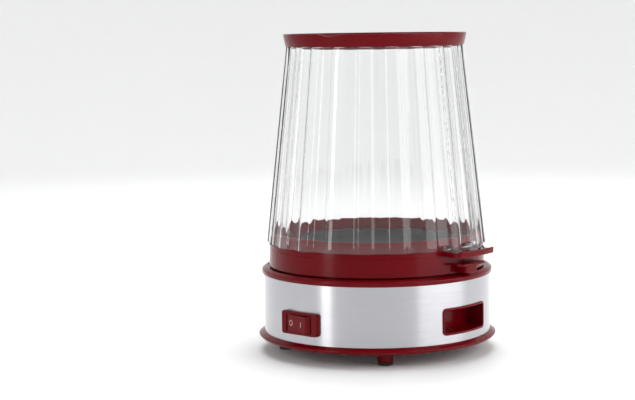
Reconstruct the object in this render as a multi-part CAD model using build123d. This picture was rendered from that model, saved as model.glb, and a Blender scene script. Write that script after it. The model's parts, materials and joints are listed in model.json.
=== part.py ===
from build123d import *
import os
from math import atan2, cos, degrees, pi, radians, sin

# Popcorn maker: a low round base that holds the motor, the heater and the switch, a lift-off tray
# with the popping plate, a clear fluted bowl over it and a cap on top. Millimetres, +Z up, front
# towards -Y, right-hand handle towards +X, origin on the axis at the surface that the feet stand on.

# ---- heights ----
FOOT_PAD_H = 3.2
PAN_UNDER_Z = 17.0
PAN_FLOOR_Z = 20.0
SKIRT_LOW_Z = 16.5
SKIRT_EDGE_Z = 20.0
SKIRT_TOP_Z = 23.6
BAND_TOP_Z = 92.0
SHELF_Z = 100.0
RIM_LIP_Z = 99.6
TRAY_WALL_LOW_Z = 100.6
TRAY_WALL_TOP_Z = 121.4
LEDGE_Z = 125.4
BOWL_LOW_Z = 127.4
COLLAR_TOP_Z = 140.5
BOWL_TOP_Z = 356.8
LID_LOW_Z = 357.1
LID_TOP_Z = 371.3

# ---- radii ----
SKIRT_R = 140.0
BAND_R = 133.4
BAND_T = 0.7
RIB_R = BAND_R - BAND_T - 0.4
TOP_RING_R = 135.6
TRAY_LOW_R = 127.0
TRAY_TOP_R = 126.1
BOWL_RING_R = 125.8
COLLAR_R = 121.0
BOWL_CREST_LOW_R = 129.3
BOWL_CREST_TOP_R = 103.5
LID_LOW_R = 104.2
LID_TOP_R = 107.2

# ---- bowl ----
FLUTES = 21
FLUTE_DEPTH = 3.7
BOWL_WALL = 2.2

# ---- lid ----
LID_SINK = 4.0
DIP_AZIMUTH = 12
DIP_HALF_W = 15
DIP_DEPTH = 2.8
DIP_ROUND = 30
STEAM_SLOTS = 12

# ---- feet and the posts above them ----
FOOT_CIRCLE_R = 108.0
FOOT_AZIMUTHS = (45, 135, 225, 315)
FOOT_R = 9.0
POST_TOP_Z = 60.0
SCREW_SEAT_Z = 48.0

# ---- switch, all on a pivot that stands upright behind the front face ----
SWITCH_Z = 46.8
BEZEL_FACE = 137.0
BEZEL_W = 53.0
BEZEL_H = 26.4
WINDOW_W = 38.0
WINDOW_H = 20.0
THROAT_MARGIN = 1.6
SWITCH_FRONT = 124.0
SWITCH_BACK = 106.2
BLADE_END = 96.0
ROCKER_PIVOT = 130.2
ROCKER_FACE = 139.6
ROCKER_SWING_R = 18.7
ROCKER_H = 19.0
ROCKER_BACK = 128.7
ROCKER_TILT = 9.0
ROCKER_PIN_R = 1.2

# ---- hand recesses ----
GRIP_W = 74.8
GRIP_H = 31.0
GRIP_Z = 48.3
GRIP_BACK = 107.0
GRIP_PROUD = 1.5

# ---- handles ----
LOWER_TAB_R = 145.0
LOWER_TAB_HALF_W = 26.5
LOWER_TAB_ROOT_HALF_W = 18.5
LOWER_TAB_LOW_Z = 110.6
LOWER_TAB_TOP_Z = 113.2
UPPER_TAB_R = 152.6
UPPER_TAB_HALF_W = 36.0
UPPER_TAB_ROOT_HALF_W = 28.5
UPPER_TAB_LOW_Z = 121.6
UPPER_TAB_LIP_Z = 128.6
CLEAR_TAB_R = 144.8
CLEAR_TAB_HALF_W = 27.5

# ---- popping plate, heater and drive ----
PLATE_UNDER_Z = 106.4
PLATE_T = 1.8
PLATE_RIM_Z = LEDGE_Z + 1.7
PLATE_SCREW_R = 115.9
HEATER_R = 92.0
HEATER_LOW_Z = 98.0
HEATER_TOP_Z = 106.0
HEATER_HOLE_R = 12.0
HEATER_BOLT_R = 76.0
HEATER_AZIMUTHS = (60, 180, 300)
SHIELD_Z = 78.2
ELEMENT_R = 58.0
ELEMENT_TUBE_R = 3.4
ELEMENT_GAP = 50.0

# ---- gear motor: the case stands behind the output axis ----
CASE_R = 26.0
CASE_BACK = 8.0
CASE_LOW_Z = 44.0
CASE_TOP_Z = 66.0
EAR_X = 32.0
GEAR_MODULE = 0.5
WHEEL_TEETH = 40
PINION_TEETH = 12
GEAR_CENTRES = GEAR_MODULE * (WHEEL_TEETH + PINION_TEETH) / 2
STAGE_1_Z = 56.0
STAGE_2_Z = 59.8
FACE_W = 3.0
IDLER_XY = ((GEAR_CENTRES ** 2 - (CASE_BACK / 2) ** 2) ** 0.5, CASE_BACK / 2)
PIN_R = 1.0
SHAFT_R = 3.0
RUN_GAP = 0.05

# ---- leads and the gland for the supply lead ----
LEAD_R = 1.2
GLAND_Z = 38.0
GLAND_HOLE_R = 3.6
GLAND_LENGTH = 13.6
GLAND_END = 141.9

UP = (Align.CENTER, Align.CENTER, Align.MIN)


def at(radius, azimuth, z):
    """A point at a radius, an azimuth from the front (towards +X) and a height."""
    return (radius * sin(radians(azimuth)), -radius * cos(radians(azimuth)), z)


def turned(outline, rounds=()):
    """A body of revolution about Z from (radius, z) corners, some of them rounded."""
    face = make_face(Polyline(*outline, close=True))
    for corner, radius in rounds:
        spot = face.vertices().sort_by_distance(Vector(*corner))[0]
        face = fillet(spot, radius)
    return revolve(Plane.XZ * face, Axis.Z)


def rod(x, y, low, high, radius):
    """An upright cylinder between two heights."""
    return Pos(x, y, low) * Cylinder(radius, high - low, align=UP)


def tube(x, y, low, high, outer, inner):
    """An upright tube between two heights."""
    return rod(x, y, low, high, outer) - rod(x, y, low, high, inner)


def window(azimuth, near, far, z, width, height, corner):
    """A prism with a rounded rectangular section that points outwards at an azimuth."""
    outward = at(1, azimuth, 0)
    along = (cos(radians(azimuth)), sin(radians(azimuth)), 0)
    face = Plane(origin=at(near, azimuth, z), x_dir=along, z_dir=outward)
    return extrude(face * RectangleRounded(width, height, corner), amount=far - near)


def plan(points, low, high, corner_rounds=()):
    """A flat outline in X and Y raised between two heights."""
    face = make_face(Polyline(*points, close=True))
    for corner, radius in corner_rounds:
        spot = face.vertices().sort_by_distance(Vector(*corner))[0]
        face = fillet(spot, radius)
    return Pos(0, 0, low) * extrude(face, amount=high - low)


def both_sides(piece):
    """A piece and its copy turned half way round the axis."""
    return piece + Rot(0, 0, 180) * piece


# ---------------------------------------------------------------- base

def base_pan():
    """Bottom pan: floor, outer skirt, locating rib for the band, feet, posts and vents."""
    pan = turned(
        [
            (0, PAN_UNDER_Z), (131, PAN_UNDER_Z), (131, 20.9), (135.4, 20.9), (135.4, SKIRT_LOW_Z),
            (SKIRT_R - 2.4, SKIRT_LOW_Z), (SKIRT_R + 1, SKIRT_EDGE_Z), (SKIRT_R - 5.8, SKIRT_TOP_Z),
            (RIB_R, SKIRT_TOP_Z), (RIB_R, 30), (RIB_R - 2.4, 30), (RIB_R - 2.4, PAN_FLOOR_Z),
            (0, PAN_FLOOR_Z),
        ],
        rounds=[((SKIRT_R - 2.4, SKIRT_LOW_Z), 0.8), ((SKIRT_R + 1, SKIRT_EDGE_Z), 1.5)],
    )
    for azimuth in FOOT_AZIMUTHS:
        x, y, _ = at(FOOT_CIRCLE_R, azimuth, 0)
        stem = rod(x, y, FOOT_PAD_H, PAN_FLOOR_Z, FOOT_R)
        stem = fillet(stem.edges().group_by(Axis.Z)[0], 1.5)
        pan += stem + rod(x, y, PAN_UNDER_Z, POST_TOP_Z, 6)
        pan -= rod(x, y, 0, SCREW_SEAT_Z, 4.3) + rod(x, y, SCREW_SEAT_Z, POST_TOP_Z, 2.0)
    for azimuth in HEATER_AZIMUTHS:
        x, y, _ = at(HEATER_BOLT_R, azimuth, 0)
        pan += rod(x, y, PAN_UNDER_Z, SHIELD_Z, 5)
        pan -= rod(x, y, 56, SHIELD_Z, 1.9 + RUN_GAP)
    for side in (-1, 1):
        pan += rod(side * EAR_X, CASE_BACK, PAN_UNDER_Z, CASE_TOP_Z, 4)
        pan -= rod(side * EAR_X, CASE_BACK, 52, CASE_TOP_Z, 1.4 + RUN_GAP)
        for step in range(-3, 4):
            pan -= Pos(side * 80, step * 8, PAN_FLOOR_Z) * Box(34, 3, 12)
    for step in range(-3, 4):
        pan -= Pos(step * 8, -62, PAN_FLOOR_Z) * Box(3, 42, 12)
    return pan


def rubber_feet():
    """Four soft pads, each with a plug that hides the case screw in the foot above it."""
    pads = []
    for azimuth in FOOT_AZIMUTHS:
        x, y, _ = at(FOOT_CIRCLE_R, azimuth, 0)
        pad = fillet(rod(x, y, 0, FOOT_PAD_H, FOOT_R - 0.5).edges().group_by(Axis.Z)[0], 0.8)
        pads.append(pad + rod(x, y, FOOT_PAD_H, 9, 4.2))
    return Compound(children=pads)


def case_screws():
    """Four screws that pull the top ring and the pan together round the band."""
    screws = []
    for azimuth in FOOT_AZIMUTHS:
        x, y, _ = at(FOOT_CIRCLE_R, azimuth, 0)
        head = fillet(rod(x, y, SCREW_SEAT_Z - 2.4, SCREW_SEAT_Z, 3.6).edges().group_by(Axis.Z)[0], 1)
        cross = Pos(x, y, SCREW_SEAT_Z - 2.4) * (Box(3.6, 0.9, 2) + Box(0.9, 3.6, 2))
        screws.append(head + rod(x, y, SCREW_SEAT_Z, 74, 1.75) - cross)
    return Compound(children=screws)


def steel_band():
    """Brushed steel wrap with openings for the switch, the two hand recesses and the gland."""
    band = tube(0, 0, SKIRT_TOP_Z, BAND_TOP_Z, BAND_R, BAND_R - BAND_T)
    throat_w = WINDOW_W + 2 * THROAT_MARGIN + 0.4
    throat_h = WINDOW_H + 2 * THROAT_MARGIN - 0.4
    band -= window(0, 110, 140, SWITCH_Z, throat_w, throat_h, 2.4)
    for azimuth in (90, 270):
        band -= window(azimuth, 100, 140, GRIP_Z, GRIP_W - 2, GRIP_H - 2, 4)
    return band - window(180, 110, 140, GLAND_Z, 12.4, 12.4, 6.19)


def base_top_ring():
    """Upper moulding of the base: rounded shoulder, gap for the tray wall, shelf and bosses."""
    ring = turned(
        [
            (100, 90), (102.4, 90), (102.4, 97.4), (RIB_R - 2.2, 97.4), (RIB_R - 2.2, 84),
            (RIB_R, 84), (RIB_R, BAND_TOP_Z + 0.2), (TOP_RING_R, BAND_TOP_Z + 0.2),
            (TOP_RING_R, 97), (131.2, RIM_LIP_Z), (129.4, RIM_LIP_Z), (128.2, 98.6), (119, 98.6),
            (119, SHELF_Z), (100, SHELF_Z),
        ],
        rounds=[((TOP_RING_R, BAND_TOP_Z + 0.2), 0.8), ((TOP_RING_R, 97), 2.2),
                ((131.2, RIM_LIP_Z), 0.8), ((100, SHELF_Z), 1)],
    )
    for azimuth in FOOT_AZIMUTHS:
        x, y, _ = at(FOOT_CIRCLE_R, azimuth, 0)
        ring += rod(x, y, POST_TOP_Z + 0.1, 98.5, 6)
        ring -= rod(x, y, POST_TOP_Z, 78, 1.75 + RUN_GAP)
    return ring


def hand_grip(azimuth):
    """Pocket for the fingers, with a raised rim that follows the band."""
    outer = rod(0, 0, 0, 120, BAND_R + GRIP_PROUD)
    inner = rod(0, 0, 0, 120, BAND_R + 0.05)
    rim = (window(azimuth, 100, 140, GRIP_Z, GRIP_W, GRIP_H, 5) & outer) - inner
    throat = window(azimuth, GRIP_BACK - 2, 140, GRIP_Z, GRIP_W - 2.4, GRIP_H - 2.4, 3.8)
    throat &= rod(0, 0, 0, 120, BAND_R + 0.5)
    pocket = window(azimuth, GRIP_BACK, 145, GRIP_Z, GRIP_W - 4.8, GRIP_H - 4.8, 3)
    grip = rim + throat - pocket
    front = [e for e in grip.edges() if on_radius(e, BAND_R + GRIP_PROUD)]
    return fillet(front, 0.5)


def on_radius(edge, radius):
    """True when both ends and the middle of an edge lie at a radius from the axis."""
    spots = [edge @ 0, edge @ 0.5, edge @ 1]
    return all(abs((p.X ** 2 + p.Y ** 2) ** 0.5 - radius) < 0.02 for p in spots)


def switch_bezel():
    """Flat-faced frame round the rocker, with a throat through the band and two pivot holes."""
    outer = window(0, 112, BEZEL_FACE, SWITCH_Z, BEZEL_W, BEZEL_H, 3)
    outer = fillet(outer.faces().sort_by(Axis.Y)[0].edges(), 1.2)
    flange = outer - rod(0, 0, 0, 120, BAND_R + 0.05)
    throat_w = WINDOW_W + 2 * THROAT_MARGIN
    throat_h = WINDOW_H + 2 * THROAT_MARGIN - 0.8
    throat = window(0, SWITCH_FRONT + 0.2, BAND_R + 1, SWITCH_Z, throat_w, throat_h, 2.2)
    bezel = flange + throat - window(0, 110, 140, SWITCH_Z, WINDOW_W, WINDOW_H, 1)
    return bezel - rod(0, -ROCKER_PIVOT, SWITCH_Z - 11, SWITCH_Z + 11, ROCKER_PIN_R + RUN_GAP)


def switch_rocker():
    """Two-position rocker: flat face, ends that follow its swing, pivot pins and a neck."""
    swing = rod(0, -ROCKER_PIVOT, SWITCH_Z - ROCKER_H / 2, SWITCH_Z + ROCKER_H / 2, ROCKER_SWING_R)
    front_half = Pos(0, -(ROCKER_FACE + ROCKER_BACK) / 2, SWITCH_Z)
    key = swing & front_half * Box(60, ROCKER_FACE - ROCKER_BACK, ROCKER_H)
    key = fillet(key.edges().filter_by(Axis.Z).group_by(Axis.Y)[0], 1.2)
    key += Pos(0, -(ROCKER_PIVOT - 6.5), SWITCH_Z) * Box(9, 11, 14)
    key += rod(0, -ROCKER_PIVOT, SWITCH_Z - 10.6, SWITCH_Z + 10.6, ROCKER_PIN_R)
    pivot = Axis((0, -ROCKER_PIVOT, 0), (0, 0, 1))
    return key.rotate(pivot, -ROCKER_TILT)


def switch_body():
    """Black switch case behind the rocker, open towards it."""
    case = window(0, SWITCH_BACK, SWITCH_FRONT, SWITCH_Z, WINDOW_W, WINDOW_H, 2)
    return case - window(0, SWITCH_BACK + 8, SWITCH_FRONT + 1, SWITCH_Z, 26, 16.6, 2)


def switch_terminals():
    """Three blade terminals on the back of the switch."""
    root = SWITCH_BACK - 0.05
    tip = BLADE_END + 0.25
    blade = Pos(0, -(root + tip) / 2, SWITCH_Z) * Box(0.8, root - tip, 6.3)
    return Compound(children=[Pos(x, 0, 0) * blade for x in (-12, 0, 12)])


def cord_gland():
    """Grommet for the supply lead at the back of the band."""
    gland = turned(
        [(GLAND_HOLE_R, 0), (6.0, 0), (6.0, 5.2), (8.5, 5.2), (8.5, 8), (6.4, GLAND_LENGTH),
         (GLAND_HOLE_R, GLAND_LENGTH)],
        rounds=[((8.5, 8), 1), ((6.4, GLAND_LENGTH), 1)],
    )
    return Pos(0, GLAND_END - GLAND_LENGTH, GLAND_Z) * Rot(-90, 0, 0) * gland


# ---------------------------------------------------------------- heater

def heater_plate():
    """Cast aluminium plate that heats the popping plate, with a groove for the element."""
    plate = turned(
        [(HEATER_HOLE_R, HEATER_LOW_Z), (HEATER_R, HEATER_LOW_Z), (HEATER_R, HEATER_TOP_Z),
         (HEATER_HOLE_R, HEATER_TOP_Z)],
        rounds=[((HEATER_R, HEATER_TOP_Z), 1.5)],
    )
    groove = Pos(0, 0, HEATER_LOW_Z) * Torus(ELEMENT_R, ELEMENT_TUBE_R + 0.1)
    plate -= groove
    for azimuth in HEATER_AZIMUTHS:
        x, y, _ = at(HEATER_BOLT_R, azimuth, 0)
        plate -= rod(x, y, HEATER_LOW_Z, HEATER_TOP_Z, 2.1)
        plate -= Pos(x, y, HEATER_TOP_Z - 2.4) * Cone(2.1, 4.6, 2.5, align=UP)
    return plate


def heating_element():
    """Sheathed element bent round most of a circle, half sunk in the heater plate."""
    section = Plane.XZ * Pos(ELEMENT_R, HEATER_LOW_Z) * Circle(ELEMENT_TUBE_R)
    ring = revolve(section, Axis.Z, 360 - ELEMENT_GAP)
    return ring.rotate(Axis.Z, 90 + ELEMENT_GAP / 2)


def element_pins():
    """Two cold pins that come down from the ends of the element through the heat shield."""
    pins = []
    for side in (-1, 1):
        x, y, _ = at(ELEMENT_R, 180 + side * (ELEMENT_GAP / 2 - 5), 0)
        pins.append(rod(x, y, 72, HEATER_LOW_Z - 2, 1.8))
    return Compound(children=pins)


def heater_insulators():
    """Three ceramic stand-offs between the heat shield and the heater plate."""
    posts = []
    for azimuth in HEATER_AZIMUTHS:
        x, y, _ = at(HEATER_BOLT_R, azimuth, 0)
        posts.append(tube(x, y, SHIELD_Z + 1, HEATER_LOW_Z, 5, 2.1))
    return Compound(children=posts)


def heater_screws():
    """Three countersunk screws from the heater plate down into the pan's posts."""
    screws = []
    for azimuth in HEATER_AZIMUTHS:
        x, y, _ = at(HEATER_BOLT_R, azimuth, 0)
        head = Pos(x, y, HEATER_TOP_Z - 2.3) * Cone(1.9, 4.1, 2.2, align=UP)
        slot = Pos(x, y, HEATER_TOP_Z) * Box(9, 1, 1.6)
        screws.append(rod(x, y, 58, HEATER_TOP_Z - 2.2, 1.9) + head - slot)
    return Compound(children=screws)


def heat_shield():
    """Shallow steel pan that keeps the heater's heat off the motor."""
    low = SHIELD_Z
    shield = turned(
        [(HEATER_HOLE_R, low), (90, low), (97, 92), (99, 92), (99, 93), (96.4, 93), (89.4, low + 1),
         (HEATER_HOLE_R, low + 1)],
    )
    for azimuth in HEATER_AZIMUTHS:
        x, y, _ = at(HEATER_BOLT_R, azimuth, 0)
        shield -= rod(x, y, low - 1, low + 2, 2.1)
    for side in (-1, 1):
        x, y, _ = at(ELEMENT_R, 180 + side * (ELEMENT_GAP / 2 - 5), 0)
        shield -= rod(x, y, low - 1, low + 2, 5)
    return shield


def thermostat():
    """Disc thermostat clamped under the heater plate, with two flat terminals."""
    x, y, _ = at(36, 115, 0)
    disc = rod(x, y, 89, HEATER_LOW_Z - 0.1, 8) + rod(x, y, 86, 89, 6.5)
    legs = Pos(x - 4, y, 84.5) * Box(0.8, 4, 3) + Pos(x + 4, y, 84.5) * Box(0.8, 4, 3)
    return disc + legs


def thermal_fuse():
    """One-shot fuse in a metal sleeve, held against the heater plate by its clip."""
    x, y, _ = at(36, 245, 0)
    sleeve = Pos(x, y, 94.5) * Rot(0, 90, 0) * Cylinder(2.2, 12)
    clip = Pos(x, y, 97.3) * Box(8, 10, 1)
    band = Pos(x, y, 94.9) * Rot(0, 90, 0) * (Cylinder(3, 5) - Cylinder(2.25, 6))
    return Compound(children=[sleeve, clip + (band & Pos(x, y, 97) * Box(9, 9, 5))])


# ---------------------------------------------------------------- motor and drive

def motor_case():
    """Drawn steel cup of the gear motor, open at the top, with two fixed pins' seats."""
    cup = rod(0, CASE_BACK, CASE_LOW_Z, CASE_TOP_Z, CASE_R)
    cup = fillet(cup.edges().group_by(Axis.Z)[0], 2)
    return cup - rod(0, CASE_BACK, CASE_LOW_Z + 1.2, CASE_TOP_Z, CASE_R - 1)


def motor_cover():
    """Flat cover plate with two ears that sit on the pan's posts."""
    ear = SlotCenterToCenter(2 * EAR_X, 11)
    face = Pos(0, CASE_BACK) * (Circle(CASE_R) + ear)
    cover = Pos(0, 0, CASE_TOP_Z) * extrude(face, amount=1.4)
    for side in (-1, 1):
        cover -= rod(side * EAR_X, CASE_BACK, CASE_TOP_Z, CASE_TOP_Z + 2, 1.7)
    return cover - rod(0, 0, CASE_TOP_Z, CASE_TOP_Z + 2, 4.6)


def motor_screws():
    """Two screws that hold the motor's ears to the posts."""
    screws = []
    for side in (-1, 1):
        x = side * EAR_X
        head = rod(x, CASE_BACK, CASE_TOP_Z + 1.4, CASE_TOP_Z + 3.4, 3)
        head = fillet(head.edges().group_by(Axis.Z)[-1], 0.9)
        slot = Pos(x, CASE_BACK, CASE_TOP_Z + 3.4) * Box(4.5, 0.9, 1.6)
        screws.append(head + rod(x, CASE_BACK, 54, CASE_TOP_Z + 1.4, 1.4) - slot)
    return Compound(children=screws)


def stator_coil():
    """Ring winding with pole claws between it and the rotor."""
    coil = tube(0, CASE_BACK, 46, 54.4, 24.4, 17)
    for step in range(12):
        x, y, _ = at(16.2, step * 30, 0)
        claw = Pos(x, CASE_BACK + y, 50.2) * Rot(0, 0, step * 30) * Box(3, 2.2, 8.4)
        coil += claw
    return coil


def gear_pins():
    """Two fixed steel pins: one for the rotor, one for the compound gear."""
    rotor_pin = rod(0, CASE_BACK, CASE_LOW_Z + 1.2, 59.4, PIN_R)
    idler_pin = rod(IDLER_XY[0], IDLER_XY[1], CASE_LOW_Z + 1.2, CASE_TOP_Z, PIN_R)
    return Compound(children=[rotor_pin, idler_pin])


def heading(x, y):
    """Direction of a flat vector in degrees from +X."""
    return degrees(atan2(y, x))


def gear_blank(teeth, half_step):
    """Gear section with stub teeth; half_step turns it by half a tooth pitch."""
    pitch_r = GEAR_MODULE * teeth / 2
    root_r = pitch_r - 1.15 * GEAR_MODULE
    tip_r = pitch_r + 0.8 * GEAR_MODULE
    step = 2 * pi / teeth
    points = []
    for tooth in range(teeth):
        middle = step * (tooth + 0.5 * half_step)
        for radius, share in ((root_r, -0.29), (tip_r, -0.11), (tip_r, 0.11), (root_r, 0.29)):
            angle = middle + share * step
            points.append((radius * cos(angle), radius * sin(angle)))
    return make_face(Polyline(*points, close=True))


def gear(teeth, x, y, low, turn, half_step=0):
    """A spur gear at a place, turned by an angle in degrees so that it meshes at rest."""
    return Pos(x, y, low) * Rot(0, 0, turn) * extrude(gear_blank(teeth, half_step), amount=FACE_W)


def rotor():
    """Magnet rotor with the motor's pinion above it."""
    to_idler = heading(IDLER_XY[0], IDLER_XY[1] - CASE_BACK)
    magnet = fillet(rod(0, CASE_BACK, 46.2, 54.2, 12).edges(), 0.4)
    body = magnet + rod(0, CASE_BACK, 54.2, STAGE_1_Z, 2.2)
    body += gear(PINION_TEETH, 0, CASE_BACK, STAGE_1_Z, to_idler)
    return body - rod(0, CASE_BACK, 46, 60, PIN_R + RUN_GAP)


def compound_gear():
    """Idler: a 40-tooth wheel driven by the rotor and a 12-tooth pinion above it."""
    x, y = IDLER_XY
    to_rotor = heading(-x, CASE_BACK - y)
    to_output = heading(-x, -y)
    body = gear(WHEEL_TEETH, x, y, STAGE_1_Z, to_rotor, 1)
    body += rod(x, y, STAGE_1_Z + FACE_W, STAGE_2_Z, 2.2)
    body += gear(PINION_TEETH, x, y, STAGE_2_Z, to_output)
    return body - rod(x, y, 55, 65, PIN_R + RUN_GAP)


def output_gear():
    """Output wheel on the shaft that rises to the drive dog under the tray."""
    to_idler = heading(*IDLER_XY)
    wheel = gear(WHEEL_TEETH, 0, 0, STAGE_2_Z, to_idler, 1)
    return wheel + rod(0, 0, STAGE_2_Z, 94.4, SHAFT_R)


def output_bush():
    """Brass bearing bush in the motor cover round the output shaft."""
    return turned(
        [(SHAFT_R + RUN_GAP, 63.4), (4.5, 63.4), (4.5, CASE_TOP_Z + 1.5), (6, CASE_TOP_Z + 1.5),
         (6, 70), (4.8, 73), (SHAFT_R + RUN_GAP, 73)],
    )


def drive_dog():
    """Drive coupling on the output shaft, with a tongue that enters the spindle's slot."""
    dog = turned([(0, 94.4), (8, 94.4), (8, 97.6), (0, 97.6)], rounds=[((8, 94.4), 0.6)])
    tongue = Pos(0, 0, 97.6) * Box(15, 3, 3, align=UP)
    return dog + (tongue & rod(0, 0, 97, 101, 7.9))


# ---------------------------------------------------------------- tray

def tab_plan(reach, half, root_half, corner):
    """Outline of a handle tab: narrow at the wall, wider outside, with rounded outer corners."""
    return plan([(100, -root_half), (126, -root_half), (reach, -half), (reach, half),
                 (126, root_half), (100, root_half)], 100, 140,
                [((reach, -half), corner), ((reach, half), corner)])


def lower_tab():
    """Lower handle tab of the tray: a plate with a hollow block under it."""
    plate = turned(
        [(124.2, LOWER_TAB_LOW_Z), (LOWER_TAB_R, LOWER_TAB_LOW_Z), (LOWER_TAB_R, LOWER_TAB_TOP_Z),
         (124.2, LOWER_TAB_TOP_Z)],
        rounds=[((LOWER_TAB_R, LOWER_TAB_TOP_Z), 1)],
    )
    plate &= tab_plan(LOWER_TAB_R + 1, LOWER_TAB_HALF_W, LOWER_TAB_ROOT_HALF_W, 9)
    block_r = LOWER_TAB_R - 4
    block = turned([(125, 102), (block_r, 102), (block_r, 111), (124.6, 111)])
    block &= plan([(100, -10), (block_r + 1, -10), (block_r + 1, 10), (100, 10)], 100, 112)
    block = fillet(block.edges().filter_by(Axis.Z).group_by(Axis.X)[-1], 2)
    hollow = turned([(127.6, 101), (block_r - 2.2, 101), (block_r - 2.2, 110), (127.6, 110)])
    hollow &= plan([(100, -7.8), (block_r, -7.8), (block_r, 7.8), (100, 7.8)], 100, 112)
    return plate + block - hollow


def tray_ring():
    """Red tray body: outer wall, inner collar, ledge for the plate, foot rib and lower tabs."""
    ring = turned(
        [
            (TRAY_LOW_R, TRAY_WALL_LOW_Z), (TRAY_TOP_R, TRAY_WALL_TOP_Z),
            (COLLAR_R, TRAY_WALL_TOP_Z), (COLLAR_R - 0.8, COLLAR_TOP_Z),
            (COLLAR_R - 3, COLLAR_TOP_Z), (COLLAR_R - 2.6, LEDGE_Z), (113.6, LEDGE_Z),
            (113.6, SHELF_Z + 0.1), (115.6, SHELF_Z + 0.1), (115.6, TRAY_WALL_TOP_Z - 2.4),
            (TRAY_TOP_R - 2.7, TRAY_WALL_TOP_Z - 2.4), (TRAY_LOW_R - 2.5, TRAY_WALL_LOW_Z),
        ],
        rounds=[((COLLAR_R - 0.8, COLLAR_TOP_Z), 0.8), ((COLLAR_R - 3, COLLAR_TOP_Z), 0.8),
                ((TRAY_LOW_R, TRAY_WALL_LOW_Z), 0.8)],
    )
    ring += both_sides(lower_tab())
    for step in range(6):
        x, y, _ = at(PLATE_SCREW_R, 30 + 60 * step, 0)
        ring -= rod(x, y, 120, 128, 1.6)
    return ring


def popping_plate():
    """Non-stick dish that the kernels pop on, with a flat rim on the tray's ledge."""
    floor = PLATE_UNDER_Z
    top = floor + PLATE_T
    dish = turned(
        [
            (5.6, floor), (97, floor), (111.8, 120), (112.8, LEDGE_Z + 0.1),
            (117.9, LEDGE_Z + 0.1), (117.9, PLATE_RIM_Z), (111.4, PLATE_RIM_Z), (110, 120.6),
            (96.2, top), (5.6, top),
        ],
        rounds=[((97, floor), 9), ((96.2, top), 8), ((112.8, LEDGE_Z + 0.1), 0.4),
                ((111.4, PLATE_RIM_Z), 1.2)],
    )
    for step in range(6):
        x, y, _ = at(PLATE_SCREW_R, 30 + 60 * step, 0)
        dish -= rod(x, y, 124, 128, 1.5 + RUN_GAP)
    return dish


def plate_screws():
    """Six small screws that hold the popping plate's rim down on the ledge."""
    screws = []
    for step in range(6):
        x, y, _ = at(PLATE_SCREW_R, 30 + 60 * step, 0)
        seat = PLATE_RIM_Z + 0.05
        head = fillet(rod(x, y, seat, seat + 1.15, 2.1).edges().group_by(Axis.Z)[-1], 0.6)
        slot = Pos(x, y, seat + 1.15) * Box(3, 0.6, 1)
        screws.append(head + rod(x, y, 122, seat, 1.5) - slot)
    return Compound(children=screws)


def spindle_bush():
    """Brass bush in the middle of the popping plate."""
    return turned(
        [(SHAFT_R + RUN_GAP, 103), (9, 103), (9, PLATE_UNDER_Z - 0.05), (5.5, PLATE_UNDER_Z - 0.05),
         (5.5, 111), (SHAFT_R + RUN_GAP, 111)],
    )


def bush_nut():
    """Hexagonal nut that clamps the bush to the popping plate."""
    low = PLATE_UNDER_Z + PLATE_T + 0.05
    nut = extrude(RegularPolygon(9, 6), amount=2.5)
    return Pos(0, 0, low) * nut - rod(0, 0, low, low + 3, 5.55)


def spindle():
    """Stirring spindle: slotted dog below, round journal, square top for the stirrer."""
    dog = rod(0, 0, 98, 102.6, 8)
    slot = Pos(0, 0, 98) * Box(20, 3.4, 6)
    journal = rod(0, 0, 102.6, 112.8, SHAFT_R)
    square = Pos(0, 0, 112.8) * Box(4.2, 4.2, 8.2, align=UP)
    square = chamfer(square.faces().sort_by(Axis.Z)[-1].edges(), 0.6)
    groove = tube(0, 0, 111.3, 112.2, 4, 2.6)
    return dog - slot + journal + square - groove


def spindle_clip():
    """Spring clip in the spindle's groove, above the bush."""
    ring = tube(0, 0, 111.35, 112.15, 4.9, 2.65)
    return ring - Pos(0, -4, 111.7) * Box(3.6, 5, 2)


# ---------------------------------------------------------------- stirrer

def stirrer_hub():
    """Hub that drops over the square end of the spindle."""
    hub = turned(
        [(0, 113), (10, 113), (10, 119), (7.5, 124.5), (0, 124.5)],
        rounds=[((10, 119), 2), ((7.5, 124.5), 2), ((10, 113), 0.6)],
    )
    hub -= Pos(0, 0, 112) * Box(4.4, 4.4, 9.4, align=UP)
    for side in (-1, 1):
        hub -= Pos(side * 7.5, 0, 117) * Rot(0, 90, 0) * Cylinder(2, 5.6)
    return hub


def stirrer_arm(reach, sweep_back):
    """One bent wire arm: out of the hub, down to the plate, out to the rim and up."""
    route = FilletPolyline(
        (4.8, 0, 117), (17, 0, 117), (28, 0, 111.6), (reach - 16, sweep_back, 111.6),
        (reach, sweep_back * 1.2, 114.5), (reach, sweep_back * 1.2, 124),
        radius=4,
    )
    section = Plane(origin=route @ 0, z_dir=route % 0) * Circle(1.95)
    return sweep(section, path=route)


def stirring_arms():
    """A long and a short wire arm on opposite sides of the hub."""
    return Compound(children=[stirrer_arm(86, -16), Rot(0, 0, 180) * stirrer_arm(58, -10)])


# ---------------------------------------------------------------- bowl

def flute_outline(crest_r, valley_r):
    """Closed outline of alternating crests and valleys with sloped sides between them."""
    step = 360 / FLUTES
    points = []
    for flute in range(FLUTES):
        for share, radius in ((-0.31, valley_r), (-0.19, crest_r), (0.19, crest_r), (0.31, valley_r)):
            x, y, _ = at(radius, (flute + share) * step, 0)
            points.append((x, y))
    return make_face(Polyline(*points, close=True))


def fluted(low, high, low_crest, high_crest, low_depth, high_depth):
    """Straight-sided tapering body between two fluted outlines."""
    bottom = Pos(0, 0, low) * flute_outline(low_crest, low_crest - low_depth)
    top = Pos(0, 0, high) * flute_outline(high_crest, high_crest - high_depth)
    return loft([bottom, top], ruled=True)


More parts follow.
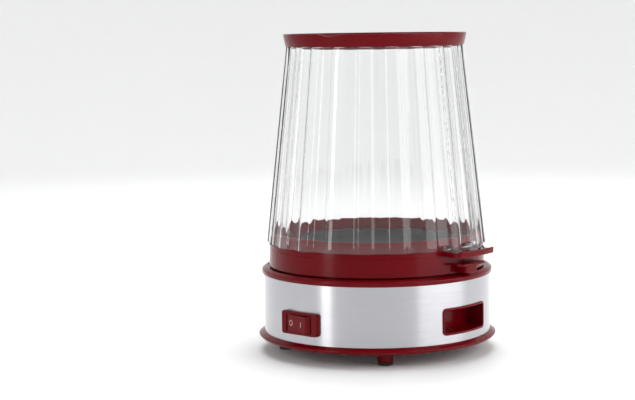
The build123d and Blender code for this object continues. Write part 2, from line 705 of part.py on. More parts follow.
def clear_tab():
    """Clear flange that lies on the red handle, thickened where it meets the wall."""
    sheet = turned(
        [(126.2, BOWL_LOW_Z + 0.2), (CLEAR_TAB_R, 126.9), (CLEAR_TAB_R, 129.1), (131, 130.0),
         (128.2, 133), (126.2, 133)],
        rounds=[((131, 130.0), 2), ((CLEAR_TAB_R, 129.1), 0.7)],
    )
    return sheet & tab_plan(CLEAR_TAB_R + 1, CLEAR_TAB_HALF_W, CLEAR_TAB_HALF_W + 3, 9)


def popping_bowl():
    """Clear fluted bowl, open at both ends, with a flange over each handle."""
    taper = (BOWL_CREST_LOW_R - BOWL_CREST_TOP_R) / (BOWL_TOP_Z - BOWL_LOW_Z)
    top_depth = FLUTE_DEPTH * BOWL_CREST_TOP_R / BOWL_CREST_LOW_R
    outside = fluted(BOWL_LOW_Z, BOWL_TOP_Z, BOWL_CREST_LOW_R, BOWL_CREST_TOP_R, FLUTE_DEPTH, top_depth)
    low_in = BOWL_CREST_LOW_R - BOWL_WALL + taper
    top_in = BOWL_CREST_TOP_R - BOWL_WALL - taper
    inside = fluted(BOWL_LOW_Z - 10, BOWL_TOP_Z + 10, low_in + 9 * taper, top_in - 9 * taper,
                    FLUTE_DEPTH, top_depth)
    return outside + both_sides(clear_tab()) - inside


def upper_tab():
    """Red handle tab under the clear flange, with a raised lip at its outer edge."""
    lip_r = UPPER_TAB_R - 3
    body = turned(
        [(123.5, UPPER_TAB_LOW_Z), (UPPER_TAB_R - 0.8, UPPER_TAB_LOW_Z),
         (UPPER_TAB_R, UPPER_TAB_LIP_Z), (UPPER_TAB_R - 2.4, UPPER_TAB_LIP_Z), (lip_r, 126.4),
         (126.5, BOWL_LOW_Z - 0.2), (123.5, BOWL_LOW_Z - 0.2)],
        rounds=[((UPPER_TAB_R, UPPER_TAB_LIP_Z), 1), ((UPPER_TAB_R - 0.8, UPPER_TAB_LOW_Z), 1.5)],
    )
    body &= tab_plan(UPPER_TAB_R + 1, UPPER_TAB_HALF_W, UPPER_TAB_ROOT_HALF_W, 12)
    hollow = turned([(129.5, 120), (lip_r - 0.4, 120), (lip_r - 0.4, 124.4), (129.5, 124.4)])
    hollow &= tab_plan(lip_r, UPPER_TAB_HALF_W - 3.4, UPPER_TAB_ROOT_HALF_W - 2.4, 9)
    return body - hollow


def bowl_ring():
    """Red ring under the bowl's edge that carries the two upper handle tabs."""
    ring = turned(
        [(121.9, UPPER_TAB_LOW_Z), (TRAY_TOP_R, UPPER_TAB_LOW_Z), (BOWL_RING_R, BOWL_LOW_Z - 0.05),
         (121.9, BOWL_LOW_Z - 0.05)],
        rounds=[((BOWL_RING_R, BOWL_LOW_Z - 0.05), 0.5)],
    )
    return ring + both_sides(upper_tab())


# ---------------------------------------------------------------- lid

def lid():
    """Cap: flared wall, sunk top panel with steam slots, plug inside the bowl, finger dip."""
    panel = LID_TOP_Z - LID_SINK
    cap = turned(
        [
            (0, panel - 2.2), (101.4, panel - 2.2), (100.2, LID_LOW_Z + 2.2),
            (95.2, LID_LOW_Z + 2.2), (95.2, LID_LOW_Z - 3.6), (97.2, LID_LOW_Z - 3.6),
            (97.4, LID_LOW_Z), (LID_LOW_R, LID_LOW_Z), (LID_TOP_R, LID_TOP_Z),
            (LID_TOP_R - 2.6, LID_TOP_Z), (LID_TOP_R - 3.4, panel), (0, panel),
        ],
        rounds=[((LID_TOP_R, LID_TOP_Z), 0.7), ((LID_TOP_R - 2.6, LID_TOP_Z), 0.7),
                ((LID_LOW_R, LID_LOW_Z), 0.6)],
    )
    dip = make_face(Polyline(
        (-DIP_HALF_W, LID_TOP_Z + 1), (-DIP_HALF_W, LID_TOP_Z), (0, LID_TOP_Z - DIP_DEPTH),
        (DIP_HALF_W, LID_TOP_Z), (DIP_HALF_W, LID_TOP_Z + 1), close=True,
    ))
    dip = fillet(dip.vertices().sort_by(Axis.Y)[0], DIP_ROUND)
    cap -= Rot(0, 0, DIP_AZIMUTH) * Pos(0, -90, 0) * extrude(Plane.XZ * dip, amount=30)
    for step in range(STEAM_SLOTS):
        slot = Pos(0, -38, panel - 3) * extrude(SlotOverall(18, 3, rotation=90), amount=4)
        cap -= Rot(0, 0, step * 360 / STEAM_SLOTS) * slot
    return cap


# ---------------------------------------------------------------- wiring

def terminal_block():
    """Screw terminal block on the pan's floor by the gland."""
    block = Pos(0, 100, PAN_FLOOR_Z) * Box(36, 13, 13, align=UP)
    for x in (-12, 0, 12):
        block -= rod(x, 100, PAN_FLOOR_Z + 7, PAN_FLOOR_Z + 13, 2.6)
        block -= Pos(x, 94, PAN_FLOOR_Z + 5) * Rot(90, 0, 0) * Cylinder(1.6, 6)
    return block


def lead(*route):
    """An insulated lead along straight runs joined by bends."""
    line = FilletPolyline(*route, radius=5)
    return sweep(Plane(origin=line @ 0, z_dir=line % 0) * Circle(LEAD_R), path=line)


def wiring():
    """Inner leads: block to switch, switch to heater, block to heater and to the motor."""
    low = PAN_FLOOR_Z + 5
    blade = SWITCH_Z + 1
    pin_x, pin_y, _ = at(ELEMENT_R, 180 + ELEMENT_GAP / 2 - 5, 0)
    feed = lead((-12, 93.4, low), (-12, 86, low), (-50, 66, low), (-50, -58, low),
                (-12.8, -70, blade), (-12.8, -BLADE_END, blade))
    to_heater = lead((12.8, -BLADE_END, blade), (12.8, -72, blade), (48, -50, 30), (48, 30, 30),
                     (-pin_x, pin_y, 50), (-pin_x, pin_y, 71.8))
    back = lead((0, 93.4, low), (0, 88, low), (pin_x - 4, 70, low + 6), (pin_x, pin_y, 50),
                (pin_x, pin_y, 71.8))
    motor = lead((12, 93.4, low), (12, 84, low), (12, 60, 40), (6, 50, 50), (6, 34.6, 50))
    return Compound(children=[feed, to_heater, back, motor])


PARTS = {
    "base_pan": base_pan,
    "rubber_feet": rubber_feet,
    "case_screws": case_screws,
    "steel_band": steel_band,
    "base_top_ring": base_top_ring,
    "switch_bezel": switch_bezel,
    "switch_body": switch_body,
    "switch_terminals": switch_terminals,
    "switch_rocker": switch_rocker,
    "cord_gland": cord_gland,
    "terminal_block": terminal_block,
    "wiring": wiring,
    "heater_plate": heater_plate,
    "heating_element": heating_element,
    "element_pins": element_pins,
    "heater_insulators": heater_insulators,
    "heater_screws": heater_screws,
    "heat_shield": heat_shield,
    "thermostat": thermostat,
    "thermal_fuse": thermal_fuse,
    "motor_case": motor_case,
    "motor_cover": motor_cover,
    "motor_screws": motor_screws,
    "stator_coil": stator_coil,
    "gear_pins": gear_pins,
    "rotor": rotor,
    "compound_gear": compound_gear,
    "output_gear": output_gear,
    "output_bush": output_bush,
    "drive_dog": drive_dog,
    "tray_ring": tray_ring,
    "popping_plate": popping_plate,
    "plate_screws": plate_screws,
    "spindle_bush": spindle_bush,
    "bush_nut": bush_nut,
    "spindle": spindle,
    "spindle_clip": spindle_clip,
    "stirrer_hub": stirrer_hub,
    "stirring_arms": stirring_arms,
    "popping_bowl": popping_bowl,
    "bowl_ring": bowl_ring,
    "lid": lid,
}

os.makedirs("parts", exist_ok=True)
for name, make in PARTS.items():
    export_step(make(), f"parts/{name}.step")
export_step(hand_grip(90), "parts/hand_grip_right.step")
export_step(hand_grip(270), "parts/hand_grip_left.step")
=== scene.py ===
import json
from math import atan2, cos, degrees, hypot, pi, radians, sin, sqrt, tan

import bmesh
import bpy
from mathutils import Matrix, Vector

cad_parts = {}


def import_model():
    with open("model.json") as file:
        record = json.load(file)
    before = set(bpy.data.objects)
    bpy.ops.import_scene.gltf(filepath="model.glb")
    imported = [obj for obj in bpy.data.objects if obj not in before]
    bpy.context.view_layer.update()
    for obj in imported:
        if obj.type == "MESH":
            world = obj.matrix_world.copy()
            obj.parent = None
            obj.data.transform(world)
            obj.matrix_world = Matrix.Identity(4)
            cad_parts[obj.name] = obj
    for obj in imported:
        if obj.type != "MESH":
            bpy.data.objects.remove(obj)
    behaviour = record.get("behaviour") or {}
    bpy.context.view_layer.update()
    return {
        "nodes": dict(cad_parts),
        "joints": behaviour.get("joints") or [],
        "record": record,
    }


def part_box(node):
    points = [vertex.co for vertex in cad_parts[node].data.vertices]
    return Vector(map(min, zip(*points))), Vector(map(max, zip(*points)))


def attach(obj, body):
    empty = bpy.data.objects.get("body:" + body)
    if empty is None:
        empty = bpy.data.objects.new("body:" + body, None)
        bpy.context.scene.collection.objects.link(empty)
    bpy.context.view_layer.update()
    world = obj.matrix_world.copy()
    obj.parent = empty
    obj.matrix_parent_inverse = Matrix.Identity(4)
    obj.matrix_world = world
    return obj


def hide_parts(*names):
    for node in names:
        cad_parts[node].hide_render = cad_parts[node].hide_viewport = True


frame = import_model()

MM = 0.001
record = frame["record"]


# ---------------------------------------------------------------- places and sizes

bowl_low, bowl_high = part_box("popping_bowl")
lid_low, lid_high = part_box("lid")
FLUTES = 21
WALL = 2.2 * MM
SWITCH_PIVOT = Vector(frame["joints"][0]["pos_m"])


def at(radius, azimuth, z=0.0):
    """A point at a radius and height, at an azimuth in degrees from the front towards +X."""
    return Vector((radius * sin(radians(azimuth)), -radius * cos(radians(azimuth)), z))


# ---------------------------------------------------------------- materials

class Shader:
    """A new material with a Principled shader, and short calls that add nodes to it."""

    def __init__(self, name, **values):
        self.material = bpy.data.materials.new(name)
        self.material.use_nodes = True
        self.tree = self.material.node_tree
        self.bsdf = self.tree.nodes["Principled BSDF"]
        self.coords = self.tree.nodes.new("ShaderNodeTexCoord").outputs["Object"]
        self.set(**values)

    def set(self, **values):
        """Sets the shader's own sockets, with underscores for the spaces in their names."""
        for key, value in values.items():
            self.bsdf.inputs[key.replace("_", " ")].default_value = value

    def join(self, source, socket):
        """Joins an output to one of the shader's sockets."""
        self.tree.links.new(source, self.bsdf.inputs[socket])

    def node(self, kind, **links):
        """A node with values or outputs given for its inputs."""
        node = self.tree.nodes.new(kind)
        for key, value in links.items():
            socket = node.inputs[key.replace("_", " ")]
            if isinstance(value, bpy.types.NodeSocket):
                self.tree.links.new(value, socket)
            else:
                socket.default_value = value
        return node

    def math(self, operation, a, b=0.0):
        """The result of a sum on two values or outputs."""
        node = self.tree.nodes.new("ShaderNodeMath")
        node.operation = operation
        for socket, value in zip(node.inputs, (a, b)):
            if isinstance(value, bpy.types.NodeSocket):
                self.tree.links.new(value, socket)
            else:
                socket.default_value = value
        return node.outputs[0]

    def noise(self, scale, detail=3.0, vector=None, roughness=0.55):
        """Smooth noise, scale in cycles per metre."""
        vector = self.coords if vector is None else vector
        node = self.node("ShaderNodeTexNoise", Vector=vector, Scale=scale, Detail=detail,
                         Roughness=roughness)
        return node.outputs["Fac"]

    def ramp(self, value, low, high, start=0.3, end=0.7):
        """Maps start..end of a value to low..high."""
        node = self.node("ShaderNodeMapRange", Value=value, From_Min=start, From_Max=end,
                         To_Min=low, To_Max=high)
        return node.outputs["Result"]

    def blend(self, value, dark, light):
        """A colour between two, by a value from 0 to 1."""
        node = self.tree.nodes.new("ShaderNodeMix")
        node.data_type = "RGBA"
        self.tree.links.new(value, node.inputs[0])
        node.inputs[6].default_value = (*dark, 1)
        node.inputs[7].default_value = (*light, 1)
        return node.outputs[2]

    def bump(self, *layers):
        """Bumps of (height output, depth in metres), one on top of another."""
        normal = None
        for height, depth in layers:
            node = self.node("ShaderNodeBump", Height=height, Distance=depth, Strength=1.0)
            if normal is not None:
                self.tree.links.new(normal, node.inputs["Normal"])
            normal = node.outputs["Normal"]
        self.join(normal, "Normal")

    def around(self, stretch, fine):
        """Coordinates that run round the Z axis: long round it, fine up it."""
        parts = self.node("ShaderNodeSeparateXYZ", Vector=self.coords)
        x, y, z = parts.outputs
        angle = self.math("ARCTAN2", x, self.math("MULTIPLY", y, -1.0))
        node = self.node("ShaderNodeCombineXYZ", X=self.math("MULTIPLY", angle, stretch),
                         Y=self.math("MULTIPLY", z, fine))
        return node.outputs[0]


def gloss_red():
    """Deep red glossy moulding: faint flow marks in the colour, a soft orange peel, fine scuffs."""
    s = Shader("red_plastic", IOR=1.5, Specular_IOR_Level=0.12)
    flow = s.noise(14, 5)
    scuff = s.noise(420, 6, roughness=0.7)
    red = s.blend(s.ramp(flow, 0, 1), (0.112, 0.0004, 0.0025), (0.132, 0.0007, 0.0035))
    s.join(red, "Base Color")
    s.join(s.math("ADD", s.ramp(flow, 0.13, 0.19), s.ramp(scuff, 0.0, 0.05, 0.45, 0.8)), "Roughness")
    s.bump((s.noise(260, 2), 0.00001), (scuff, 0.000002))
    return s.material


def brushed_steel():
    """Stainless sheet brushed round the base: long fine streaks, highlights that stretch upwards."""
    s = Shader("brushed_steel", Metallic=1.0, Anisotropic=0.9, Anisotropic_Rotation=0.25)
    fine = s.noise(1, 3, s.around(5, 2600), 0.7)
    coarse = s.noise(1, 2, s.around(2.5, 420))
    cloud = s.noise(9, 3)
    streak = s.math("ADD", s.math("MULTIPLY", fine, 0.7), s.math("MULTIPLY", coarse, 0.3))
    s.join(s.blend(s.ramp(streak, 0, 1), (0.42, 0.42, 0.44), (0.51, 0.51, 0.53)), "Base Color")
    s.join(s.math("ADD", s.ramp(streak, 0.17, 0.27), s.ramp(cloud, 0, 0.03)), "Roughness")
    s.bump((streak, 0.00002))
    tangent = s.tree.nodes.new("ShaderNodeTangent")
    tangent.direction_type = "RADIAL"
    tangent.axis = "Z"
    s.join(tangent.outputs[0], "Tangent")
    return s.material


def clear_plastic():
    """Clear moulded polycarbonate with faint flow waves, which lets light through in its shadow."""
    s = Shader("clear_plastic", Base_Color=(0.985, 0.988, 0.987, 1), Transmission_Weight=1.0, IOR=1.5)
    wave = s.noise(30, 3)
    haze = s.noise(160, 5, roughness=0.7)
    s.join(s.ramp(haze, 0.0, 0.05, 0.5, 0.85), "Roughness")
    s.bump((wave, 0.00025), (s.noise(700, 2), 0.000002))
    nodes = s.tree.nodes
    clear = nodes.new("ShaderNodeBsdfTransparent")
    clear.inputs[0].default_value = (0.93, 0.95, 0.945, 1)
    path = nodes.new("ShaderNodeLightPath")
    mixed = nodes.new("ShaderNodeMixShader")
    links = s.tree.links
    links.new(path.outputs["Is Shadow Ray"], mixed.inputs[0])
    links.new(s.bsdf.outputs[0], mixed.inputs[1])
    links.new(clear.outputs[0], mixed.inputs[2])
    links.new(mixed.outputs[0], nodes["Material Output"].inputs[0])
    depth = nodes.new("ShaderNodeVolumeAbsorption")
    depth.inputs["Color"].default_value = (0.22, 0.23, 0.23, 1)
    depth.inputs["Density"].default_value = 14
    links.new(depth.outputs[0], nodes["Material Output"].inputs["Volume"])
    return s.material


def plain(name, dark, light, rough, grain, depth, **values):
    """A surface with mottled colour, uneven roughness and a grain of one size."""
    s = Shader(name, **values)
    cloud = s.noise(grain * 0.05, 4)
    fine = s.noise(grain, 5, roughness=0.65)
    s.join(s.blend(s.ramp(cloud, 0, 1), dark, light), "Base Color")
    s.join(s.math("ADD", s.ramp(cloud, *rough), s.ramp(fine, -0.04, 0.04)), "Roughness")
    s.bump((fine, depth))
    return s.material


def sheet_steel():
    """Plated sheet with rolling lines."""
    s = Shader("sheet_steel", Metallic=1.0)
    stretch = s.node("ShaderNodeMapping", Vector=s.coords, Scale=(40, 1400, 400))
    lines = s.noise(1, 3, stretch.outputs[0])
    spangle = s.noise(160, 4)
    s.join(s.blend(s.ramp(spangle, 0, 1), (0.42, 0.42, 0.41), (0.56, 0.56, 0.55)), "Base Color")
    s.join(s.ramp(lines, 0.26, 0.44), "Roughness")
    s.bump((lines, 0.00002))
    return s.material


def nonstick():
    """Dark non-stick coating with a fine speckle and faint turning rings beneath it."""
    s = Shader("nonstick", IOR=1.4)
    parts = s.node("ShaderNodeSeparateXYZ", Vector=s.coords)
    x, y = parts.outputs[0], parts.outputs[1]
    radius = s.math("SQRT", s.math("ADD", s.math("MULTIPLY", x, x), s.math("MULTIPLY", y, y)))
    rings = s.math("SINE", s.math("MULTIPLY", radius, 9000.0))
    speckle = s.ramp(s.noise(1500, 2), 0, 1, 0.62, 0.72)
    s.join(s.blend(speckle, (0.016, 0.016, 0.017), (0.11, 0.11, 0.112)), "Base Color")
    s.join(s.ramp(s.noise(60, 4), 0.32, 0.46), "Roughness")
    s.bump((rings, 0.000012), (s.noise(1500, 2), 0.00002))
    return s.material


def winding():
    """Enamelled wire laid round the coil."""
    s = Shader("copper_winding", Metallic=1.0)
    height = s.node("ShaderNodeSeparateXYZ", Vector=s.coords).outputs[2]
    turns = s.math("SINE", s.math("MULTIPLY", height, 15000.0))
    s.join(s.blend(s.ramp(turns, 0, 1, -1, 1), (0.20, 0.06, 0.02), (0.52, 0.20, 0.08)), "Base Color")
    s.join(s.ramp(s.noise(300), 0.25, 0.4), "Roughness")
    s.bump((turns, 0.0001))
    return s.material


def sleeving():
    """Woven glass sleeve over the leads."""
    s = Shader("lead_insulation", Roughness=0.75)
    node = s.node("ShaderNodeTexWave", Vector=s.coords, Scale=700, Distortion=2, Detail=1)
    node.bands_direction = "DIAGONAL"
    s.join(s.blend(node.outputs["Fac"], (0.52, 0.50, 0.44), (0.80, 0.78, 0.70)), "Base Color")
    s.bump((node.outputs["Fac"], 0.0001))
    return s.material


MATERIALS = {
    "red_plastic": gloss_red(),
    "brushed_steel": brushed_steel(),
    "clear_plastic": clear_plastic(),
    "sheet_steel": sheet_steel(),
    "nonstick": nonstick(),
    "copper_winding": winding(),
    "lead_insulation": sleeving(),
    "black_plastic": plain("black_plastic", (0.012, 0.012, 0.013), (0.022, 0.022, 0.023),
                           (0.38, 0.5), 900, 0.00004),
    "rubber": plain("rubber", (0.010, 0.010, 0.010), (0.020, 0.019, 0.018), (0.7, 0.85), 1400, 0.00005),
    "screw_steel": plain("screw_steel", (0.50, 0.50, 0.49), (0.66, 0.66, 0.65), (0.2, 0.34), 800,
                         0.00001, Metallic=1.0),
    "cast_aluminium": plain("cast_aluminium", (0.48, 0.48, 0.49), (0.62, 0.62, 0.63), (0.42, 0.58),
                            500, 0.0001, Metallic=1.0),
    "element_sheath": plain("element_sheath", (0.06, 0.05, 0.045), (0.15, 0.13, 0.11), (0.45, 0.6),
                            600, 0.00003, Metallic=0.8),
    "ceramic": plain("ceramic", (0.66, 0.64, 0.57), (0.80, 0.78, 0.72), (0.35, 0.55), 500, 0.00003),
    "brass": plain("brass", (0.50, 0.35, 0.13), (0.66, 0.48, 0.20), (0.22, 0.36), 500, 0.00001,
                   Metallic=1.0),
    "gear_nylon": plain("gear_nylon", (0.66, 0.64, 0.56), (0.78, 0.76, 0.69), (0.35, 0.5), 400,
                        0.00002, Subsurface_Weight=0.05),
    "magnet": plain("magnet", (0.03, 0.03, 0.032), (0.07, 0.07, 0.073), (0.4, 0.6), 900, 0.00004),
    "polished_wire": plain("polished_wire", (0.60, 0.60, 0.60), (0.72, 0.72, 0.72), (0.10, 0.2), 300,
                           0.000005, Metallic=1.0),
    "pale_print": plain("pale_print", (0.42, 0.26, 0.26), (0.52, 0.34, 0.34), (0.4, 0.5), 900, 0.00001),
}

for part in record["subparts"]:
    node = frame["nodes"][part["node"]]
    node.data.materials.clear()
    node.data.materials.append(MATERIALS[part["material_slot"]])


# ---------------------------------------------------------------- mesh helpers

def rounded(corners, steps=5):
    """A closed outline of (u, v, radius) corners with its rounded corners drawn as arcs."""
    points = []
    for i, (u, v, radius) in enumerate(corners):
        here = Vector((u, v))
        before = Vector(corners[i - 1][:2]) - here
        after = Vector(corners[(i + 1) % len(corners)][:2]) - here
        if radius == 0:
            points.append(here)
            continue
        half = before.angle(after) / 2
        inward = (before.normalized() + after.normalized()).normalized()
        centre = here + inward * radius / sin(half)
        start = here + before.normalized() * radius / tan(half) - centre
        end = here + after.normalized() * radius / tan(half) - centre
        for step in range(steps + 1):
            points.append(centre + start.slerp(end, step / steps).normalized() * radius)
    return points


def linked(name, data):
    """A new object in the scene for a mesh, light or camera."""
    obj = bpy.data.objects.new(name, data)
    bpy.context.scene.collection.objects.link(obj)
    return obj


def close(bm, name):
    """A mesh made from a BMesh whose faces are turned outwards."""
    bmesh.ops.recalc_face_normals(bm, faces=bm.faces)
    mesh = bpy.data.meshes.new(name)
    bm.to_mesh(mesh)
    bm.free()
    return mesh


def new_piece(name, mesh, body, slot, *nodes):
    """An object for a finished mesh, which rides on a body and may stand for CAD nodes."""
    piece = linked(name, mesh)
    mesh.materials.clear()
    mesh.materials.append(MATERIALS[slot])
    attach(piece, body)
    if nodes:
        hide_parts(*nodes)
    return piece


def ring_of(name, rows):
    """A closed mesh from a ring of closed outlines, each a list of points."""
    bm = bmesh.new()
    rows = [[bm.verts.new(point) for point in row] for row in rows]
    for step, row in enumerate(rows):
        follow = rows[(step + 1) % len(rows)]
        for i in range(len(row)):
            j = (i + 1) % len(row)
            bm.faces.new((row[i], follow[i], follow[j], row[j]))
    return close(bm, name)


def lathe(name, outline, around, place):
    """A closed mesh swept round Z; place(azimuth, radius, z) gives each point."""
    azimuths = [360 * step / around for step in range(around)]
    return ring_of(name, [[place(azimuth, r, z) for r, z in outline] for azimuth in azimuths])


def stadium(half_w, half_l, arc_steps):
    """The outline of a slot along v with round ends, as (u, v) points."""
    rim = []
    for end in (1, -1):
        for step in range(arc_steps + 1):
            turn = pi * step / arc_steps + (0 if end == 1 else pi)
            rim.append((half_w * cos(turn), end * half_l + half_w * sin(turn)))
    return rim


def prism(name, low, high):
    """A closed mesh between two outlines of the same number of points."""
    bm = bmesh.new()
    low, high = ([bm.verts.new(point) for point in layer] for layer in (low, high))
    bm.faces.new(low)
    bm.faces.new(high)
    for i in range(len(low)):
        j = (i + 1) % len(low)
        bm.faces.new((low[i], low[j], high[j], high[i]))
    return close(bm, name)


def combine(mesh, others, operation):
    """The mesh joined with, or cut by, other closed meshes."""
    base = linked("work", mesh)
    spare = []
    for other in others:
        tool = linked("tool", other)
        cut = base.modifiers.new("cut", "BOOLEAN")
        cut.operation = operation
        cut.solver = "MANIFOLD"
        cut.object = tool
        spare.append(tool)
    bpy.context.view_layer.update()
    done = bpy.data.meshes.new_from_object(base.evaluated_get(bpy.context.evaluated_depsgraph_get()))
    for obj in (base, *spare):
        bpy.data.objects.remove(obj)
    return done


def smooth(mesh, angle=35):
    """Smooth shading with the edges over an angle kept sharp."""
    mesh.shade_smooth()
    mesh.set_sharp_from_angle(angle=radians(angle))
    return mesh


# ---------------------------------------------------------------- bowl

BOWL_CREST_LOW = 129.3 * MM
BOWL_CREST_TOP = 103.5 * MM
BOWL_RIM_ROUND = 0.9 * MM
BOWL_Z0 = bowl_low.z + 0.5 * MM
BOWL_Z1 = bowl_high.z
FLUTE_DEPTH = 3.7 * MM
FLUTE_SQUARENESS = 2.2


def flute_height(azimuth):
    """0 in a valley and 1 on a crest, with rounded shoulders between them."""
    wave = cos(radians(azimuth) * FLUTES)
    k = FLUTE_SQUARENESS
    return 0.5 + 0.5 * wave * sqrt(1 + k * k) / sqrt(1 + k * k * wave * wave)


def wall_radius(azimuth, z):
    """The fluted wall's outer radius."""
    share = (z - BOWL_Z0) / (BOWL_Z1 - BOWL_Z0)
    crest = BOWL_CREST_LOW + (BOWL_CREST_TOP - BOWL_CREST_LOW) * share
    return crest - FLUTE_DEPTH * crest / BOWL_CREST_LOW * (1 - flute_height(azimuth))


def wall_point(azimuth, inset, z):
    """A point of the fluted wall, inset from its outer surface."""
    return at(wall_radius(azimuth, z) - inset, azimuth, z)


def bowl_wall():
    """The fluted wall with rounded rims."""
    ends = ((0, BOWL_Z0), (0, BOWL_Z1), (WALL, BOWL_Z1), (WALL, BOWL_Z0))
    corners = rounded([(*end, BOWL_RIM_ROUND) for end in ends], 4)
    outline = []
    for i, point in enumerate(corners):
        outline.append(point)
        follow = corners[(i + 1) % len(corners)]
        if (follow - point).length > 0.1:
            outline += [point.lerp(follow, step / 12) for step in range(1, 12)]
    return lathe("wall", outline, FLUTES * 28, wall_point)


def tab_mesh(side):
    """The clear flange over a handle: from inside the wall out to a rounded end, as side 1 or -1."""
    end_r = bowl_high.x
    half = 27.5 * MM
    flare = 3 * MM
    corner = 9 * MM
    bm = bmesh.new()
    tops, lows = [], []
    long_steps, cross_steps = 24, 48
    for i in range(long_steps + 1):
        u = (i / long_steps) ** 1.6
        top, low = [], []
        for j in range(cross_steps + 1):
            v = 2 * j / cross_steps - 1
            y = (half + flare * (1 - u)) * v * (1.3 - 0.3 * v * v)
            over = min(max(0, abs(y) - (half - corner)), corner)
            reach = sqrt(end_r ** 2 - y * y) - corner + sqrt(corner ** 2 - over ** 2)
            wall = wall_radius(degrees(atan2(side * 0.127, y)), BOWL_Z0)
            start = sqrt((wall - 1.2 * MM) ** 2 - y * y)
            x = start + (reach - start) * u
            out = hypot(x, y) - wall
            slope = max(0, out) / (end_r - wall)
            fillet = 3.2 * MM * max(0, 1 - max(0, out) / (4 * MM)) ** 2
            top.append(bm.verts.new((side * x, side * y, BOWL_Z0 + 2.6 * MM - 0.9 * MM * slope + fillet)))
            low.append(bm.verts.new((side * x, side * y, BOWL_Z0 + 0.2 * MM - 0.6 * MM * slope)))
        tops.append(top)
        lows.append(low)
    for rows in (tops, lows):
        for a, b in zip(rows, rows[1:]):
            for j in range(cross_steps):
                bm.faces.new((a[j], a[j + 1], b[j + 1], b[j]))
    for top, low in ((tops[0], lows[0]), (tops[-1], lows[-1])):
        for j in range(cross_steps):
            bm.faces.new((top[j], top[j + 1], low[j + 1], low[j]))
    for j in (0, cross_steps):
        for a, b, c, d in zip(tops, tops[1:], lows[1:], lows):
            bm.faces.new((a[j], b[j], c[j], d[j]))
    bmesh.ops.recalc_face_normals(bm, faces=bm.faces)
    edges = [e for e in bm.edges if e.calc_face_angle(0) > radians(50)]
    bmesh.ops.bevel(bm, geom=edges, offset=0.5 * MM, segments=3, affect="EDGES")
    return close(bm, "tab")


def clear_bowl():
    """The clear bowl: wall and the two flanges in one piece."""
    mesh = combine(bowl_wall(), [tab_mesh(1), tab_mesh(-1)], "UNION")
    new_piece("clear_bowl", smooth(mesh), "bowl", "clear_plastic", "popping_bowl")


# ---------------------------------------------------------------- lid

DIP_AZIMUTH = 12
DIP_HALF_ANGLE = 8.5
DIP_DEPTH = 2.3 * MM
PANEL_Z = lid_high.z - 4 * MM
PANEL_THICK = 2.2 * MM
PLUG_DEPTH = 3.6 * MM
STEAM_SLOTS = 12


def lid_point(azimuth, r, z):
    """A point of the cap, with the rim lowered in the finger dip."""
    away = abs((azimuth - DIP_AZIMUTH + 180) % 360 - 180) / DIP_HALF_ANGLE
    dip = DIP_DEPTH * cos(pi / 2 * min(1, away)) ** 2
    share = max(0, (z - PANEL_Z + 0.4 * MM) / (lid_high.z - PANEL_Z + 0.4 * MM))
    return at(r, azimuth, z - dip * share)


def steam_slot(azimuth):
    """A slot-shaped cutter that points outwards through the cap's panel."""
    middle = 38 * MM
    rim = stadium(1.5 * MM, 7.5 * MM, 8)
    layers = [[at(middle + v, azimuth, z) + u * at(1, azimuth + 90) for u, v in rim]
              for z in (PANEL_Z - 8 * MM, PANEL_Z + 3 * MM)]
    return prism("slot", *layers)


def cap():
    """The red cap: flared wall, sunk panel with steam slots, plug, and the finger dip."""
    top = lid_high.z
    low = lid_low.z + PLUG_DEPTH
    wide = 107.2 * MM
    outline = [
        (0.4 * MM, PANEL_Z, 0), (40 * MM, PANEL_Z + 0.3 * MM, 0), (80 * MM, PANEL_Z, 0),
        (103.8 * MM, PANEL_Z, 1.2 * MM), (104.6 * MM, top, 0.7 * MM), (wide, top, 0.7 * MM),
        (104.2 * MM, low, 0.6 * MM), (97.4 * MM, low, 0), (97.2 * MM, lid_low.z, 0.6 * MM),
        (95.2 * MM, lid_low.z, 0.6 * MM), (95.2 * MM, low + 2.2 * MM, 0), (100.2 * MM, low + 2.2 * MM, 1 * MM),
        (101.4 * MM, PANEL_Z - PANEL_THICK, 1 * MM), (40 * MM, PANEL_Z - 2.0 * MM, 0),
        (0.4 * MM, PANEL_Z - PANEL_THICK, 0),
    ]
    mesh = lathe("cap", rounded(outline), 360, lid_point)
    bm = bmesh.new()
    bm.from_mesh(mesh)
    hub = [v for v in bm.verts if hypot(v.co.x, v.co.y) < 0.5 * MM]
    walls = [f for f in bm.faces if all(v in hub for v in f.verts)]
    bmesh.ops.delete(bm, geom=walls, context="FACES")
    for z in (PANEL_Z, PANEL_Z - PANEL_THICK):
        level = [v for v in hub if v.is_valid and abs(v.co.z - z) < 0.5 * MM]
        bmesh.ops.pointmerge(bm, verts=level, merge_co=(0, 0, z))
    bm.to_mesh(mesh)
    bm.free()
    mesh = combine(mesh, [steam_slot(360 * i / STEAM_SLOTS) for i in range(STEAM_SLOTS)], "DIFFERENCE")
    new_piece("cap", smooth(mesh), "lid", "red_plastic", "lid")


# ---------------------------------------------------------------- switch marks

ROCKER_FACE = 9.4 * MM
ROCKER_TILT = -9
RING_X = -9.5 * MM
BAR_X = 8 * MM
PRINT = 0.12 * MM


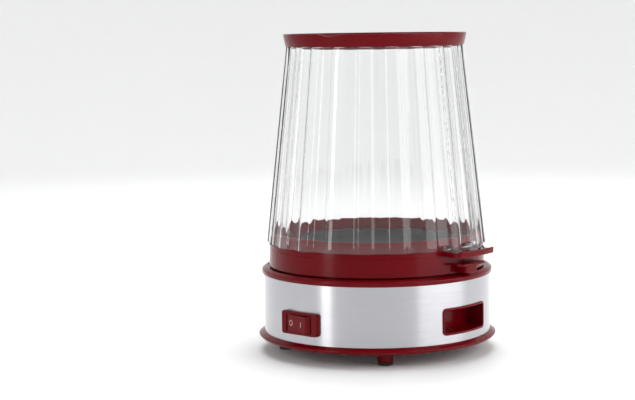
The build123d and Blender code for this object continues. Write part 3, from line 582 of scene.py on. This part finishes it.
def rocker_marks():
    """A bar for on and a ring for off, printed a little proud on the rocker's tilted face."""
    tilt = Matrix.Rotation(radians(ROCKER_TILT), 4, "Z")

    def place(x, z, out):
        return SWITCH_PIVOT + tilt @ Vector((x, -ROCKER_FACE - out, z))

    rows = []
    steps = 40
    inner, outer, stretch = 2.1 * MM, 2.9 * MM, 1.15
    for step in range(steps):
        turn = 2 * pi * step / steps
        rows.append([place(RING_X + r * cos(turn), r * sin(turn) * stretch, out)
                     for r, out in ((inner, 0), (inner, PRINT), (outer, PRINT), (outer, 0))])
    new_piece("mark_ring", smooth(ring_of("mark_ring", rows)), "rocker", "pale_print")

    rim = stadium(0.45 * MM, 2.7 * MM, 6)
    layers = [[place(BAR_X + u, v, out) for u, v in rim] for out in (0, PRINT)]
    new_piece("mark_bar", smooth(prism("mark_bar", *layers)), "rocker", "pale_print")


# ---------------------------------------------------------------- stage

CAMERA_AZIMUTH = 40.3
CAMERA_DISTANCE = 1.986
CAMERA_HEIGHT = 0.3883
CAMERA_PITCH = 6.10
CAMERA_YAW = 1.99
CAMERA_ROLL = -0.749
CAMERA_LENS = 95.92
FLOOR_R = 2.4
COVE_R = 1.0
WALL_TOP = 3.0
LIGHT_TARGET = Vector((0, 0, 0.18))


def camera():
    """Camera a little above the cap, turned slightly left of the axis."""
    data = bpy.data.cameras.new("camera")
    data.lens = CAMERA_LENS
    data.sensor_width = 36
    data.clip_end = 100
    obj = linked("camera", data)
    turn = Matrix.Rotation(radians(CAMERA_AZIMUTH + CAMERA_YAW), 4, "Z")
    pitch = Matrix.Rotation(radians(90 - CAMERA_PITCH), 4, "X")
    roll = Matrix.Rotation(radians(CAMERA_ROLL), 4, "Z")
    place = Matrix.Translation(at(CAMERA_DISTANCE, CAMERA_AZIMUTH, CAMERA_HEIGHT))
    obj.matrix_world = place @ turn @ pitch @ roll
    bpy.context.scene.camera = obj


def surroundings():
    """A pale floor that curves up into a round paper backdrop."""
    profile = [(0.6, 0), (1.4, 0), (FLOOR_R, 0)]
    for a in range(6, 91, 6):
        profile.append((FLOOR_R + COVE_R * sin(radians(a)), COVE_R - COVE_R * cos(radians(a))))
    profile += [(FLOOR_R + COVE_R, 2.0), (FLOOR_R + COVE_R, WALL_TOP)]
    bm = bmesh.new()
    middle = bm.verts.new((0, 0, 0))
    around = 120
    rows = [[bm.verts.new(at(r, 360 * i / around, z)) for r, z in profile] for i in range(around)]
    for i, row in enumerate(rows):
        follow = rows[(i + 1) % around]
        bm.faces.new((middle, row[0], follow[0]))
        for k in range(len(row) - 1):
            bm.faces.new((row[k], row[k + 1], follow[k + 1], follow[k]))
    mesh = close(bm, "backdrop")
    mesh.flip_normals()
    mesh.shade_smooth()
    obj = linked("backdrop", mesh)
    s = Shader("backdrop_paper", Specular_IOR_Level=0.1)
    s.join(s.blend(s.noise(25, 4), (0.92, 0.92, 0.92), (0.94, 0.94, 0.94)), "Base Color")
    s.join(s.ramp(s.noise(40, 4), 0.55, 0.7), "Roughness")
    s.bump((s.noise(800, 3), 0.00002))
    mesh.materials.append(s.material)


def softbox(name, azimuth, z, distance, width, height, power):
    """A rectangular light, not seen itself but in reflections, that faces the object."""
    data = bpy.data.lights.new(name, "AREA")
    data.shape = "RECTANGLE"
    data.size = width
    data.size_y = height
    data.energy = power
    obj = linked(name, data)
    place = at(distance, azimuth, z)
    aim = LIGHT_TARGET - place
    obj.matrix_world = Matrix.Translation(place) @ aim.to_track_quat("-Z", "Y").to_matrix().to_4x4()
    obj.visible_camera = False
    obj.visible_transmission = False


def world():
    """Pale even surroundings."""
    studio = bpy.data.worlds.new("studio")
    studio.use_nodes = True
    background = studio.node_tree.nodes["Background"]
    background.inputs["Color"].default_value = (0.97, 0.98, 1.0, 1)
    background.inputs["Strength"].default_value = 0.33
    bpy.context.scene.world = studio


def lights():
    """A broad box on the right, a narrow one on the left and a broad one overhead."""
    softbox("right_box", CAMERA_AZIMUTH + 67, 0.7, 1.6, 1.72, 1.5, 19)
    softbox("left_box", CAMERA_AZIMUTH - 50, 0.6, 1.8, 0.34, 1.5, 8)
    softbox("top_box", CAMERA_AZIMUTH + 180, 2.4, 0.9, 2.2, 2.2, 60)


clear_bowl()
cap()
rocker_marks()
camera()
surroundings()
lights()
world()
scene = bpy.context.scene
scene.view_settings.view_transform = "Standard"
scene.view_settings.look = "None"
